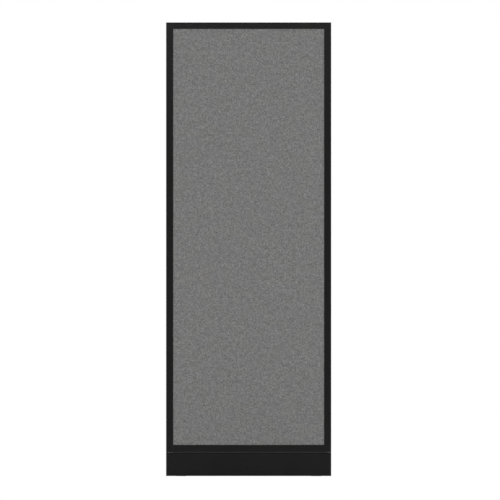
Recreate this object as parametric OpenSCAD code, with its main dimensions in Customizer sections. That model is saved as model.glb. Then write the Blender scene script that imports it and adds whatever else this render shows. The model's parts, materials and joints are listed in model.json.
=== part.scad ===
// Fabric-covered partition wall panel.
// A welded steel frame carries a paper honeycomb core, a hook-on fabric tile on each face and
// snap-on black trims. The base is a cable raceway with a hinged cover on each face, and the
// panel stands on two screw glides.
// Millimetres. X runs along the wall, Y through it with the front at -Y, Z up from the floor.

/* [Panel] */
// Overall width of the wall
panel_w = 610; // [460:1:1220]
// Overall height from the floor, glides fully in
panel_h = 1676; // [1070:1:2140]
// Overall thickness
panel_t = 51; // [51:1:70]

/* [Trims] */
// Width of each side trim as seen from the front
side_face = 26; // [24:1:40]
// Height of the top cap as seen from the front
cap_face = 24; // [22:1:40]
// Height of the bottom rail as seen from the front
rail_face = 27.2; // [24:0.1:45]
// Wall of the trims, the rail and the base covers
trim_wall = 2; // [1.5:0.1:3]
// Radius of the outer edges of the trims
trim_round = 1.2; // [0.5:0.1:2]
// How far a tile runs in under the lips of the trims
tile_tuck = 14; // [8:1:16]

/* [Base] */
// Gap between the base covers and the floor
floor_gap = 0.5; // [0.5:0.5:4]
// Height of the base covers
cover_h = 86.5; // [75:0.5:140]
// Open seam between the base covers and the bottom rail
seam = 1; // [0.6:0.1:3]
// Outside radius of the rolled top edge of a base cover, which hinges on the bottom rail
roll_r = 4; // [3.5:0.1:5]
// Height of the cable slots in the base end caps
slot_h = 38; // [20:1:80]

/* [Steel frame] */
// Width of the stiles along the wall
stile_w = 25; // [20:1:40]
// Depth of every frame tube through the wall
frame_d = 20; // [18:1:28]
// Height of the cross tubes
tube_h = 20; // [15:1:30]
// Wall of the frame tubes
tube_wall = 1.5; // [1:0.1:2.5]

/* [Core and tiles] */
// Distance between opposite walls of a honeycomb cell
core_cell = 48; // [30:1:80]
// Wall of the honeycomb
core_wall = 1; // [0.8:0.1:2]
// Thickness of the fabric
fabric_t = 0.8; // [0.5:0.1:1.5]
// Width of the fabric that turns in behind a tile
fabric_return = 25; // [15:1:40]
// Space between the frame and the back of a tile
tile_gap = 1.3; // [1.3:0.1:3]

/* [Glides] */
// Radius of the glide stem
stem_r = 5; // [4:0.5:5.5]
// Radius of the glide foot
foot_r = 20; // [15:0.5:20.5]
// How far a glide screws out
glide_travel = 25; // [10:1:30]
// Distance of each glide from the end of the wall
glide_inset = 55; // [50:1:90]

/* [Panel links] */
// Inside radius of the link nuts, the minor radius of an M8 thread
link_r = 3.35; // [2.5:0.05:5]
// Radius of the access hole in the side trims
link_access_r = 9; // [8:0.5:11]

/* [Hidden] */
$fn = 64;
FIT = 0.05;       // radial clearance of a shaft that turns in its bore
SLACK = 0.3;      // gap between pieces that pass each other
TURN_GAP = 0.1;   // gap between faces that turn on each other
BITE = 0.5;       // how far two shapes of one piece run into each other
CUT = 1;          // how far a cutter reaches past the faces that it opens
half_w = panel_w / 2;
half_t = panel_t / 2;

// Heights
cover_z = floor_gap + cover_h;
rail_z = cover_z + seam;
rail_top = rail_z + rail_face;
tile_z = rail_top - tile_tuck;
cap_z = panel_h - cap_face;
tile_top = cap_z + tile_tuck;
clip_h = 6;
frame_top = panel_h - trim_wall - clip_h;
tube_low_z = tile_z;
tube_top_z = frame_top - tube_h;
tube_mid_z = (tube_low_z + tube_top_z) / 2;

// Steel frame
stile_out = half_w - trim_wall - clip_h;
stile_in = stile_out - stile_w;
stile_x = (stile_out + stile_in) / 2;
pan_z = 18;
pan_wall = 2;
pan_top = pan_z + pan_wall;
pan_clear = 2.5;
pan_half = half_t - trim_wall - pan_clear;
pan_flange = 14;

// Core
core_border = 2;

// Tiles
fabric_y = half_t - trim_wall;
tile_back = frame_d / 2 + tile_gap;
board_front = fabric_y - fabric_t;
board_back = tile_back + fabric_t;
tile_half = half_w - side_face + tile_tuck;
tile_clip_count = 4;
tile_clip_inset = 100;
tile_clip = [20, 1.1, 30];
tongue_w = 10;
tongue_t = 2;
tongue_hook = 8;
tongue_hook_t = 1.6;
prong = [4, 8, 1.2];
prong_pitch = 20;

// Trim clips, along the side trims and under the top cap, and the ribs that grip them
edge_clip_count = 4;
edge_clip_inset = 60;
trim_clip_w = 34;
trim_clip_l = 40;
cap_clip_count = 3;
cap_clip_inset = 90;
rib_t = 1.5;
rib_l = clip_h - rib_t;
rib_hook = 0.8;
rib_hook_t = 1.2;
rib_gap = 0.1;
screw_r = 2;
screw_head_r = 4;
screw_head_h = 2.4;
screw_reach = 8;
screw_sink = 1;
clip_floor = clip_h - screw_head_h - screw_sink;

// Panel links
link_nut_r = 5.4;
link_nut_flange_r = 7.5;
link_nut_flange_t = 1.2;
link_nut_l = 16;

// Base covers and their hinges
hinge_y = half_t - roll_r;
hinge_z = cover_z - roll_r;
hook_end = 160;
bead_r = roll_r - trim_wall - TURN_GAP;
hanger_t = 1.3;
hanger_gap = 0.4;
hanger_drop = roll_r + hanger_gap;
cover_return = 4;
cover_return_t = 1.5;
magnet_r = 5;
magnet_t = fabric_y - pan_half - SLACK;
magnet_z = pan_z + pan_flange / 2;
magnet_count = 3;
magnet_inset = 40;

// Base end caps
end_t = 3;
end_lift = 1.5;
end_z = floor_gap + cover_return_t + end_lift;
slot_w = 9;
slot_round = 2;
slot_gap = 1.5;
slot_y = frame_d / 2 + slot_gap;
slot_lift = 6;
slot_z = pan_z + pan_flange + slot_lift;
end_screw_drop = [4, 8];
end_screw_z = [pan_z + pan_flange - end_screw_drop.x, cover_z - end_screw_drop.y];
end_boss_r = 5.5;
end_head_r = 3.5;
end_head_h = 2.2;
end_recess_r = end_head_r + 0.2;

// Glides
sole_t = 2;
foot_h = 7;
foot_rim = 3;
foot_top = sole_t + foot_h;
foot_neck_r = 10;
spigot_r = stem_r - 1;
socket_floor = 1;
spigot_z = sole_t + socket_floor + TURN_GAP;
collar_z = foot_top + TURN_GAP;
collar_h = pan_z - SLACK - collar_z;
collar_r = 8;
glide_x = half_w - glide_inset;
glide_nut_r = 10;
glide_nut_h = 12;
stem_spare = 3;
stem_top = pan_top + glide_nut_h + glide_travel + stem_spare;
pan_hole_r = stem_r + 0.6;

// Bottom rail screws
rail_screw_count = 3;
rail_screw_inset = 120;
rail_screw_r = 2.5;
rail_screw_head_r = 4.5;
rail_screw_head_h = 2.5;
rail_screw_reach = 8;

BLACK = [0.13, 0.13, 0.13];
PLASTIC = [0.16, 0.16, 0.16];
ZINC = [0.72, 0.73, 0.75];
STEEL = [0.45, 0.46, 0.48];
GREY_CLOTH = [0.46, 0.46, 0.455];
BOARD = [0.80, 0.76, 0.62];
KRAFT = [0.66, 0.51, 0.34];
RUBBER = [0.08, 0.08, 0.08];

// The i-th of n places spread evenly from a to b.
function spread(a, b, n, i) = a + (b - a) * i / (n - 1);
function edge_clip_z(i) =
    spread(rail_top + edge_clip_inset, cap_z - edge_clip_inset, edge_clip_count, i);
function tile_clip_z(i) =
    spread(tile_z + tile_clip_inset, tile_top - tile_clip_inset, tile_clip_count, i);
// Link nuts sit half way between two edge clips, low and high.
LINK_Z = [
    (edge_clip_z(0) + edge_clip_z(1)) / 2,
    (edge_clip_z(edge_clip_count - 2) + edge_clip_z(edge_clip_count - 1)) / 2
];

// Left-hand pieces are drawn at -X and front pieces at -Y; the others are the same, turned.
module turned(other) {
    rotate(other ? 180 : 0) children();
}

// A block between two corners.
module block(low, high) {
    translate(low) cube(high - low);
}

// A rectangular tube along X or Z, open at both ends.
module tube(low, high, axis) {
    wall = [for (i = [0:2]) i == axis ? -1 : tube_wall];
    difference() {
        block(low, high);
        block(low + wall, high - wall);
    }
}

// A rod along X, growing towards +X from its start.
module rod_x(start, r, l) {
    translate(start) rotate([0, 90, 0]) cylinder(r = r, h = l);
}

// ---- Steel frame ----

module tile_clip_slots() {
    for (i = [0:tile_clip_count - 1], y = [-1, 1])
        translate([-stile_x, y * frame_d / 2, tile_clip_z(i) + tongue_t / 2 + SLACK])
            cube([tongue_w + 2 * SLACK, 4 * tube_wall, 2 * (tongue_hook + SLACK)], center = true);
}

module stile(right) {
    color(STEEL) turned(right) difference() {
        tube([-stile_out, -frame_d / 2, pan_top], [-stile_in, frame_d / 2, frame_top], 2);
        tile_clip_slots();
        for (z = LINK_Z)
            rod_x([-stile_out - CUT, 0, z], link_nut_r, 2 * tube_wall + CUT);
        for (i = [0:edge_clip_count - 1])
            rod_x([-stile_out - CUT, 0, edge_clip_z(i)], screw_r, 2 * tube_wall + CUT);
        for (z = end_screw_z)
            rod_x([-stile_out - CUT, 0, z], screw_r, 2 * tube_wall + CUT);
    }
}

module cross_tube(z) {
    tube([-stile_in, -frame_d / 2, z], [stile_in, frame_d / 2, z + tube_h], 0);
}

module top_tube() {
    color(STEEL) difference() {
        cross_tube(tube_top_z);
        for (i = [0:cap_clip_count - 1])
            translate([cap_clip_x(i), 0, frame_top - 2 * tube_wall])
                cylinder(r = screw_r, h = 2 * tube_wall + CUT);
    }
}

module middle_tube() {
    color(STEEL) cross_tube(tube_mid_z);
}

module low_tube() {
    color(STEEL) difference() {
        cross_tube(tube_low_z);
        for (i = [0:rail_screw_count - 1])
            translate([rail_screw_x(i), 0, tube_low_z - CUT])
                cylinder(r = rail_screw_r, h = 2 * tube_wall + CUT);
    }
}

// The folded channel under the raceway, with a hole for each glide stem.
module base_pan() {
    color(STEEL) difference() {
        block([-stile_out, -pan_half, pan_z], [stile_out, pan_half, pan_z + pan_flange]);
        block([-stile_out - CUT, -pan_half + pan_wall, pan_top],
              [stile_out + CUT, pan_half - pan_wall, pan_z + pan_flange + CUT]);
        for (x = [-glide_x, glide_x])
            translate([x, 0, pan_z - CUT]) cylinder(r = pan_hole_r, h = pan_wall + 2 * CUT);
    }
}

module glide_nuts() {
    color(ZINC) for (x = [-glide_x, glide_x])
        translate([x, 0, pan_top]) difference() {
            cylinder(r = glide_nut_r, h = glide_nut_h, $fn = 6);
            translate([0, 0, -CUT]) cylinder(r = stem_r + FIT, h = glide_nut_h + 2 * CUT);
        }
}

// Threaded inserts in the stiles, open right through.
module link_nuts() {
    color(ZINC) for (right = [false, true], z = LINK_Z)
        turned(right) difference() {
            union() {
                rod_x([-stile_out - link_nut_flange_t, 0, z], link_nut_flange_r, link_nut_flange_t);
                rod_x([-stile_out, 0, z], link_nut_r, link_nut_l);
            }
            rod_x([-stile_out - link_nut_flange_t - CUT, 0, z], link_r,
                  link_nut_l + link_nut_flange_t + 2 * CUT);
        }
}

// ---- Honeycomb core ----

// Hexagon cells cut from a sheet that fills one bay of the frame, with a closed border.
module core(z_low, z_high) {
    pitch = core_cell + core_wall;
    row = pitch * sin(60);
    columns = ceil(stile_in / pitch) + 1;
    rows = ceil((z_high - z_low) / row) + 1;
    color(KRAFT) translate([0, frame_d / 2, 0]) rotate([90, 0, 0]) linear_extrude(frame_d)
        difference() {
            translate([-stile_in, z_low]) square([2 * stile_in, z_high - z_low]);
            intersection() {
                translate([-stile_in + core_border, z_low + core_border])
                    square([2 * (stile_in - core_border), z_high - z_low - 2 * core_border]);
                for (j = [0:rows], i = [-columns:columns])
                    translate([(i + (j % 2) / 2) * pitch, z_low + j * row])
                        rotate(30) circle(r = core_cell / 2 / cos(30), $fn = 6);
            }
        }
}

// ---- Tiles ----

// The prongs of every clip of the front tile, which press into the board.
module clip_prongs() {
    for (x = [-stile_x, stile_x], i = [0:tile_clip_count - 1], z = [-1, 1])
        translate([x, -tile_back - prong.y / 2, tile_clip_z(i) + z * prong_pitch / 2])
            cube(prong, center = true);
}

module tile_board(back) {
    color(BOARD) turned(back) difference() {
        block([-tile_half + fabric_t, -board_front, tile_z + fabric_t],
              [tile_half - fabric_t, -board_back, tile_top - fabric_t]);
        clip_prongs();
    }
}

// Fabric over the face and the four edges, turned in behind the board.
module tile_fabric(back) {
    color(GREY_CLOTH) turned(back) difference() {
        block([-tile_half, -fabric_y, tile_z], [tile_half, -tile_back, tile_top]);
        block([-tile_half + fabric_t, -board_front, tile_z + fabric_t],
              [tile_half - fabric_t, -board_back, tile_top - fabric_t]);
        block([-tile_half + fabric_return, -board_back - CUT, tile_z + fabric_return],
              [tile_half - fabric_return, -tile_back + CUT, tile_top - fabric_return]);
        clip_prongs();
    }
}

// A spring clip: a plate behind the tile, prongs into it, and a tongue that hooks down
// inside the stile.
module tile_clips(back) {
    inner = frame_d / 2 - tube_wall - 0.2;
    color(ZINC) turned(back) {
        clip_prongs();
        for (x = [-stile_x, stile_x], i = [0:tile_clip_count - 1])
            translate([x, 0, tile_clip_z(i)]) {
                block([-tile_clip.x / 2, -tile_back, -tile_clip.z / 2],
                      [tile_clip.x / 2, -tile_back + tile_clip.y, tile_clip.z / 2]);
                block([-tongue_w / 2, -tile_back + tile_clip.y, 0],
                      [tongue_w / 2, -inner + tongue_hook_t, tongue_t]);
                block([-tongue_w / 2, -inner, -tongue_hook],
                      [tongue_w / 2, -inner + tongue_hook_t, tongue_t]);
            }
    }
}

// ---- Trims ----

// The outline of a trim, seen along its length: x through the wall, y inwards from the
// outer face, whose two edges are rounded.
module trim_outline(face) {
    translate([-half_t, trim_round]) square([panel_t, face - trim_round]);
    translate([-half_t + trim_round, 0]) square([panel_t - 2 * trim_round, face]);
    for (x = [-1, 1])
        translate([x * (half_t - trim_round), trim_round]) circle(r = trim_round);
}

// A U section with that outline. Two ribs with hooked ends grip the trim clips.
module trim_section(face) {
    difference() {
        trim_outline(face);
        translate([-fabric_y, trim_wall]) square([2 * fabric_y, face]);
    }
    for (side = [0, 1])
        mirror([side, 0]) {
            translate([trim_clip_w / 2 + rib_gap, trim_wall - BITE]) square([rib_t, rib_l + BITE]);
            translate([trim_clip_w / 2 + rib_gap - rib_hook, trim_wall + rib_l - rib_hook_t])
                square([rib_hook + BITE, rib_hook_t]);
        }
}

module side_trim(right) {
    color(BLACK) turned(right) difference() {
        translate([-half_w, 0, rail_z]) rotate(-90)
            linear_extrude(cap_z - rail_z) trim_section(side_face);
        for (z = LINK_Z)
            rod_x([-half_w - CUT, 0, z], link_access_r, trim_wall + 2 * CUT);
    }
}

// The snap clip that a trim's ribs close over, drawn on the XY plane with the trim above.
module trim_clip() {
    difference() {
        translate([-trim_clip_l / 2, -trim_clip_w / 2, 0]) cube([trim_clip_l, trim_clip_w, clip_h]);
        for (y = [-1, 1])
            translate([0, y * trim_clip_w / 2, clip_h - rib_l + rib_hook_t / 2])
                cube([trim_clip_l + 2 * CUT, 2 * rib_hook, rib_hook_t + 2 * SLACK], center = true);
        translate([0, 0, -CUT]) cylinder(r = screw_r, h = clip_h + 2 * CUT);
        translate([0, 0, clip_floor]) cylinder(r = screw_head_r + SLACK, h = clip_h);
    }
}

module clip_screw() {
    color(ZINC) {
        translate([0, 0, clip_floor]) cylinder(r = screw_head_r, h = screw_head_h);
        translate([0, 0, -screw_reach]) cylinder(r = screw_r, h = clip_floor + screw_reach);
    }
}

// Stands a trim clip or its screw on the outer face of the left stile.
module on_left_stile(i) {
    translate([-stile_out, 0, edge_clip_z(i)]) rotate([0, -90, 0]) children();
}

module edge_clips(right) {
    color(PLASTIC) turned(right) for (i = [0:edge_clip_count - 1])
        on_left_stile(i) trim_clip();
}

module edge_clip_screws() {
    for (right = [false, true], i = [0:edge_clip_count - 1])
        turned(right) on_left_stile(i) clip_screw();
}

function cap_clip_x(i) =
    spread(-half_w + cap_clip_inset, half_w - cap_clip_inset, cap_clip_count, i);

module top_cap() {
    color(BLACK) translate([-half_w + end_t, 0, panel_h]) rotate([90, 0, 90])
        linear_extrude(panel_w - 2 * end_t) mirror([0, 1]) trim_section(cap_face);
}

module cap_clips() {
    color(PLASTIC) for (i = [0:cap_clip_count - 1])
        translate([cap_clip_x(i), 0, frame_top]) trim_clip();
}

module cap_clip_screws() {
    for (i = [0:cap_clip_count - 1])
        translate([cap_clip_x(i), 0, frame_top]) clip_screw();
}

// The plug that closes an end of the top cap: a cover plate and a stub that grips inside.
module cap_end(right) {
    stub_half = trim_clip_w / 2 + rib_gap - rib_hook;
    stub_l = 14;
    color(PLASTIC) turned(right) {
        translate([-half_w, 0, panel_h]) rotate([90, 0, 90]) linear_extrude(end_t) mirror([0, 1])
            trim_outline(cap_face);
        block([-half_w + end_t - BITE, -stub_half, frame_top + SLACK],
              [-half_w + end_t + stub_l, stub_half, panel_h - trim_wall]);
    }
}

function rail_screw_x(i) =
    spread(-half_w + rail_screw_inset, half_w - rail_screw_inset, rail_screw_count, i);

// A J-shaped hanger with a bead at its end, centred on a cover's hinge axis.
// x is outwards through the wall, y is up.
module hanger_section() {
    out = hanger_drop + hanger_t;
    circle(r = bead_r);
    translate([-TURN_GAP, -out]) square([hanger_t, out]);
    translate([-out, -out]) square([out + hanger_t - TURN_GAP, hanger_t]);
    translate([-out, -out]) square([hanger_t, out + rail_z - hinge_z + BITE]);
}

// One face plate and half of each web of the bottom rail, with the hanger under it.
module rail_half_section() {
    translate([fabric_y, rail_z]) square([trim_wall, rail_face]);
    for (z = [rail_z, tile_z - trim_wall])
        translate([-BITE, z]) square([fabric_y + 2 * BITE, trim_wall]);
    translate([hinge_y, hinge_z]) hanger_section();
}

module bottom_rail() {
    l = half_w - side_face - SLACK;
    color(BLACK) difference() {
        translate([-l, 0, 0]) rotate([90, 0, 90]) linear_extrude(2 * l) {
            rail_half_section();
            mirror([1, 0]) rail_half_section();
        }
        for (x = [-1, 1])
            translate([x * stile_x, 0, rail_z])
                cube([stile_w + 2 * SLACK, frame_d + 2 * SLACK, 2 * rail_face], center = true);
        for (i = [0:rail_screw_count - 1])
            translate([rail_screw_x(i), 0, rail_z - CUT]) cylinder(r = rail_screw_r, h = rail_face);
    }
}

module bottom_rail_screws() {
    color(ZINC) for (i = [0:rail_screw_count - 1])
        translate([rail_screw_x(i), 0, rail_z]) {
            translate([0, 0, -rail_screw_head_h])
                cylinder(r = rail_screw_head_r, h = rail_screw_head_h);
            cylinder(r = rail_screw_r, h = tile_z - rail_z + rail_screw_reach);
        }
}

// ---- Base ----

// A base cover seen along its length: x is outwards through the wall, y is up. Its top edge
// rolls inwards round the hanger's bead, as far as hook_end from the outward direction.
module cover_section() {
    reach = 2 * roll_r;
    translate([hinge_y, hinge_z]) difference() {
        intersection() {
            circle(r = roll_r);
            polygon([[0, 0], [reach, 0], [reach, reach], [-reach, reach],
                     [-reach, -reach * tan(hook_end)]]);
        }
        circle(r = roll_r - trim_wall);
    }
    translate([fabric_y, floor_gap + trim_round]) square([trim_wall, hinge_z - floor_gap - trim_round]);
    translate([half_t - cover_return, floor_gap])
        square([cover_return - trim_round, cover_return_t]);
    difference() {
        translate([half_t - trim_round, floor_gap + trim_round]) circle(r = trim_round);
        translate([0, floor_gap + cover_return_t]) square([fabric_y, trim_round]);
    }
}

module base_cover(back) {
    color(BLACK) turned(!back) translate([-half_w, 0, 0]) rotate([90, 0, 90])
        linear_extrude(panel_w) cover_section();
}

// Discs glued inside a cover, that hold it shut against the steel pan.
module cover_magnets(back) {
    color(STEEL) turned(back) for (i = [0:magnet_count - 1])
        translate([spread(-half_w + magnet_inset, half_w - magnet_inset, magnet_count, i),
                   -fabric_y + magnet_t, magnet_z])
            rotate([90, 0, 0]) cylinder(r = magnet_r, h = magnet_t);
}

// The two rounded slots that let cables through an end cap, on each side of the stile.
module cable_slots() {
    for (y = [-1, 1])
        translate([0, y * (slot_y + slot_w / 2), slot_z + slot_h / 2])
            for (size = [[slot_w - 2 * slot_round, slot_h], [slot_w, slot_h - 2 * slot_round]])
                cube([4 * end_t, size.x, size.y], center = true);
    for (y = [-1, 1], cy = [slot_round, slot_w - slot_round], cz = [slot_round, slot_h - slot_round])
        rod_x([-2 * end_t, y * (slot_y + cy), slot_z + cz], slot_round, 4 * end_t);
}

// A plate with a neck between the covers' rolled edges, and a ledge in behind the neck that closes
// the end of the seam under a side trim.
module base_end(right) {
    body_y = fabric_y - SLACK;
    neck_y = hinge_y - roll_r - SLACK;
    neck_z = hinge_z - roll_r - SLACK;
    color(PLASTIC) turned(right) difference() {
        union() {
            block([-half_w, -body_y, end_z], [-half_w + end_t, body_y, neck_z]);
            block([-half_w, -neck_y, neck_z - BITE], [-half_w + end_t, neck_y, rail_z - FIT]);
            block([-half_w, -neck_y, cover_z - end_t], [-stile_out - SLACK, neck_y, rail_z - FIT]);
            for (z = end_screw_z)
                rod_x([-half_w + end_t - BITE, 0, z], end_boss_r, half_w - stile_out - end_t + BITE);
        }
        translate([-half_w, 0, 0]) cable_slots();
        for (z = end_screw_z) {
            rod_x([-half_w - CUT, 0, z], screw_r, half_w - stile_out + 2 * CUT);
            rod_x([-half_w - CUT, 0, z], end_recess_r, end_head_h + CUT);
        }
    }
}

module base_end_screws() {
    color(ZINC) for (right = [false, true], z = end_screw_z)
        turned(right) {
            rod_x([-half_w, 0, z], end_head_r, end_head_h);
            rod_x([-half_w, 0, z], screw_r, half_w - stile_out + screw_reach);
        }
}

// ---- Glides ----

module on_glide(right) {
    translate([right ? glide_x : -glide_x, 0, 0]) children();
}

module glide_sole(right) {
    color(RUBBER) on_glide(right) cylinder(r = foot_r - 1, h = sole_t);
}

// The foot stays still on the floor while the stem turns in it.
module glide_foot(right) {
    color(PLASTIC) on_glide(right) difference() {
        union() {
            translate([0, 0, sole_t]) cylinder(r = foot_r, h = foot_rim);
            translate([0, 0, sole_t + foot_rim])
                cylinder(r1 = foot_r, r2 = foot_neck_r, h = foot_h - foot_rim);
        }
        translate([0, 0, spigot_z - TURN_GAP]) cylinder(r = spigot_r + FIT, h = foot_h + CUT);
    }
}

module glide_stem(right) {
    color(ZINC) on_glide(right) {
        translate([0, 0, spigot_z]) cylinder(r = spigot_r, h = collar_z - spigot_z + BITE);
        translate([0, 0, collar_z]) cylinder(r = collar_r, h = collar_h, $fn = 6);
        translate([0, 0, collar_z + collar_h - BITE])
            cylinder(r = stem_r, h = stem_top - collar_z - collar_h + BITE);
    }
}

stile(false);  // stile_left
stile(true);  // stile_right
top_tube();
middle_tube();
low_tube();
base_pan();
glide_nuts();
link_nuts();
core(tube_mid_z + tube_h, tube_top_z);  // core_upper
core(tube_low_z + tube_h, tube_mid_z);  // core_lower
tile_board(false);  // tile_board_front
tile_board(true);  // tile_board_back
tile_fabric(false);  // tile_fabric_front
tile_fabric(true);  // tile_fabric_back
tile_clips(false);  // tile_clips_front
tile_clips(true);  // tile_clips_back
side_trim(false);  // side_trim_left
side_trim(true);  // side_trim_right
edge_clips(false);  // edge_clips_left
edge_clips(true);  // edge_clips_right
edge_clip_screws();
top_cap();
cap_end(false);  // cap_end_left
cap_end(true);  // cap_end_right
cap_clips();
cap_clip_screws();
bottom_rail();
bottom_rail_screws();
base_end(false);  // base_end_left
base_end(true);  // base_end_right
base_end_screws();
base_cover(false);  // base_cover_front
base_cover(true);  // base_cover_back
cover_magnets(false);  // cover_magnets_front
cover_magnets(true);  // cover_magnets_back
glide_foot(false);  // glide_foot_left
glide_foot(true);  // glide_foot_right
glide_sole(false);  // glide_sole_left
glide_sole(true);  // glide_sole_right
glide_stem(false);  // glide_stem_left
glide_stem(true);  // glide_stem_right
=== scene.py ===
"""Looks of a fabric-covered partition wall: a grey cloth tile on each face of a steel frame, black
powder-coated trims, and a base raceway with hinged covers, on two screw glides.

It is laid out as an add-on and run as a script. Metres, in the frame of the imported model: X along
the wall, Y through it with the front at -Y, Z up from the floor.
"""
import json
import math

import bmesh
import bpy
import numpy as np
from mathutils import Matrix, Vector


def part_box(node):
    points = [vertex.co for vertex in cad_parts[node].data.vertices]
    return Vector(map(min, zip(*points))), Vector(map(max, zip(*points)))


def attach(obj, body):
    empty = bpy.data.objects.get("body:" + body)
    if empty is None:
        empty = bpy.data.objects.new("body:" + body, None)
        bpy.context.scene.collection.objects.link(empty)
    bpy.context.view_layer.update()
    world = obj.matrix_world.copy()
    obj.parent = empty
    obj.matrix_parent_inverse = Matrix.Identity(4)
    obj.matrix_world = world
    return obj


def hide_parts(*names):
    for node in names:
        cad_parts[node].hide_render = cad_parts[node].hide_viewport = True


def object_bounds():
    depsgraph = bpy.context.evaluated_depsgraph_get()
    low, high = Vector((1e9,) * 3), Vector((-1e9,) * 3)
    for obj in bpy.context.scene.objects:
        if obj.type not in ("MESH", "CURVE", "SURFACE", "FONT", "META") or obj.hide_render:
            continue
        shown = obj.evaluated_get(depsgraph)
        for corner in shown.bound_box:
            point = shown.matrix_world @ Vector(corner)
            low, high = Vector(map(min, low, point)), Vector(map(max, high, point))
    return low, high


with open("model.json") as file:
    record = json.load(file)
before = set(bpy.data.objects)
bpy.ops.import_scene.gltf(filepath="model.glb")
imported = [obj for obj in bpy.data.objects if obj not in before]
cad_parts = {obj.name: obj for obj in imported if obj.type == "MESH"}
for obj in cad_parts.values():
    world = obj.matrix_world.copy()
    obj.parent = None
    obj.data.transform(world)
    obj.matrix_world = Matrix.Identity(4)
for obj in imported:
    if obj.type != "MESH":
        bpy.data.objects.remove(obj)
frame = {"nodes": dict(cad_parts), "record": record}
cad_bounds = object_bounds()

bl_info = {
    "name": "Partition wall",
    "version": (1, 0, 0),
    "blender": (4, 5, 0),
    "location": "3D View > Sidebar > Partition",
    "description": "Builds the cloth, coatings and fittings of a partition wall round its frame",
    "category": "Object",
}

MM = 0.001
TURN = 2 * math.pi
LENGTH = {"unit": "LENGTH", "precision": 5}
SHARE = {"subtype": "FACTOR"}
SEAM_HIGHLIGHT = 2.2 * MM       # how far the painted highlight reaches on each side of the open seam
SCREW_SHARP = 30          # degrees from which an edge of a screw stays sharp
STEM_CREST, STEM_DEPTH, NUT_GAP = 4.96 * MM, 0.72 * MM, 0.1 * MM

# The stage: how far the floor reaches each way, the camera's distance and range, where the suns and
# panels stand along the wall (4.8) and through it (5.2), the suns' height above the wall's middle
# and their width as an angle, the panels' height and size, and the strips over and under the wall.
FLOOR_REACH = 25.0
CAMERA_AWAY, CAMERA_RANGE = 4.0, (0.1, 60.0)
CORNER = (4.8, 5.2)
SUN_LIFT, SUN_WIDTH = 1.1, 0.28
PANEL_HEIGHT, PANEL_SIZE = 0.9, (3.2, 1.0)
STRIP_AWAY, STRIP_SIZE = 1.0, (1.4, 0.08)
STRIP_DROP, STRIP_RISE = 0.03, 0.06


def slot_colour(slot):
    """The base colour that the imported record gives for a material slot."""
    for row in frame["record"]["materials"]:
        if row["slot"] == slot:
            return tuple(row["base_color"])
    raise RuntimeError(f"the record has no material slot named {slot}")


def box(node):
    """The lowest and highest corners of a frame node, as arrays."""
    low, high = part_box(node)
    return np.array(low), np.array(high)


# ---- Settings ----


def number(name, about, default, low, high, **kind):
    """A number that a user would change."""
    return bpy.props.FloatProperty(name=name, description=about, default=default, min=low,
                                   max=high, **kind)


def tint(name, about, default):
    """A colour that a user would change."""
    return bpy.props.FloatVectorProperty(name=name, description=about, default=default, min=0.0,
                                         max=1.0, size=3, subtype="COLOR")


class ClothSettings(bpy.types.PropertyGroup):
    """The woven cloth on the two tiles."""

    colour: tint("Cloth colour", "Mean colour of the yarns", slot_colour("grey_fabric"))
    yarn: number(
        "Yarn pitch", "Distance between neighbouring yarns", 1.1 * MM, 0.3 * MM, 5 * MM, **LENGTH)
    heather: number(
        "Heather", "How far single yarns differ from the mean colour", 0.55, 0.0, 1.0, **SHARE)
    mottle: number(
        "Mottle", "How far small patches of yarn differ from the mean colour",
        1.0, 0.0, 1.0, **SHARE)
    thickness: number(
        "Thickness", "Thickness of the cloth", 0.8 * MM, 0.2 * MM, 2 * MM, **LENGTH)
    crown: number(
        "Crown", "How far the middle of a tile stands proud of its edges",
        0.5 * MM, 0.0, 1.5 * MM, **LENGTH)
    fold: number(
        "Turned in", "Width of the cloth that is turned in behind a tile",
        25 * MM, 10 * MM, 60 * MM, **LENGTH)


class CoatSettings(bpy.types.PropertyGroup):
    """The powder coat of the trims and the moulded plastic of the ends."""

    colour: tint("Coat colour", "Colour of the powder coat", (0.0061, 0.0061, 0.0061))
    roughness: number(
        "Coat roughness", "Mean roughness of the powder coat", 0.42, 0.05, 1.0, **SHARE)
    wear: number(
        "Edge wear", "How far the coat is rubbed lighter along its edges", 0.5, 0.0, 1.0, **SHARE)
    rub: number(
        "Rub width", "Width of the rubbed band along an edge", 0.9 * MM, 0.2 * MM, 6 * MM, **LENGTH)
    plastic: tint("Plastic colour", "Colour of the end caps and glide feet", (0.011, 0.011, 0.0112))


class FittingSettings(bpy.types.PropertyGroup):
    """The threads and heads of the screws, nuts and glides."""

    stem_pitch: number(
        "Stem pitch", "Pitch of the glide stem's thread", 1.5 * MM, 0.5 * MM, 3 * MM, **LENGTH)
    link_pitch: number(
        "Link pitch", "Pitch of the thread in the link nuts", 1.25 * MM, 0.5 * MM, 3 * MM, **LENGTH)
    screw_pitch: number(
        "Screw pitch", "Pitch of the self-tapping screws", 1.6 * MM, 0.5 * MM, 3 * MM, **LENGTH)
    recess: number(
        "Recess depth", "Depth of the cross recess in a screw head",
        1.1 * MM, 0.2 * MM, 2 * MM, **LENGTH)


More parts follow.
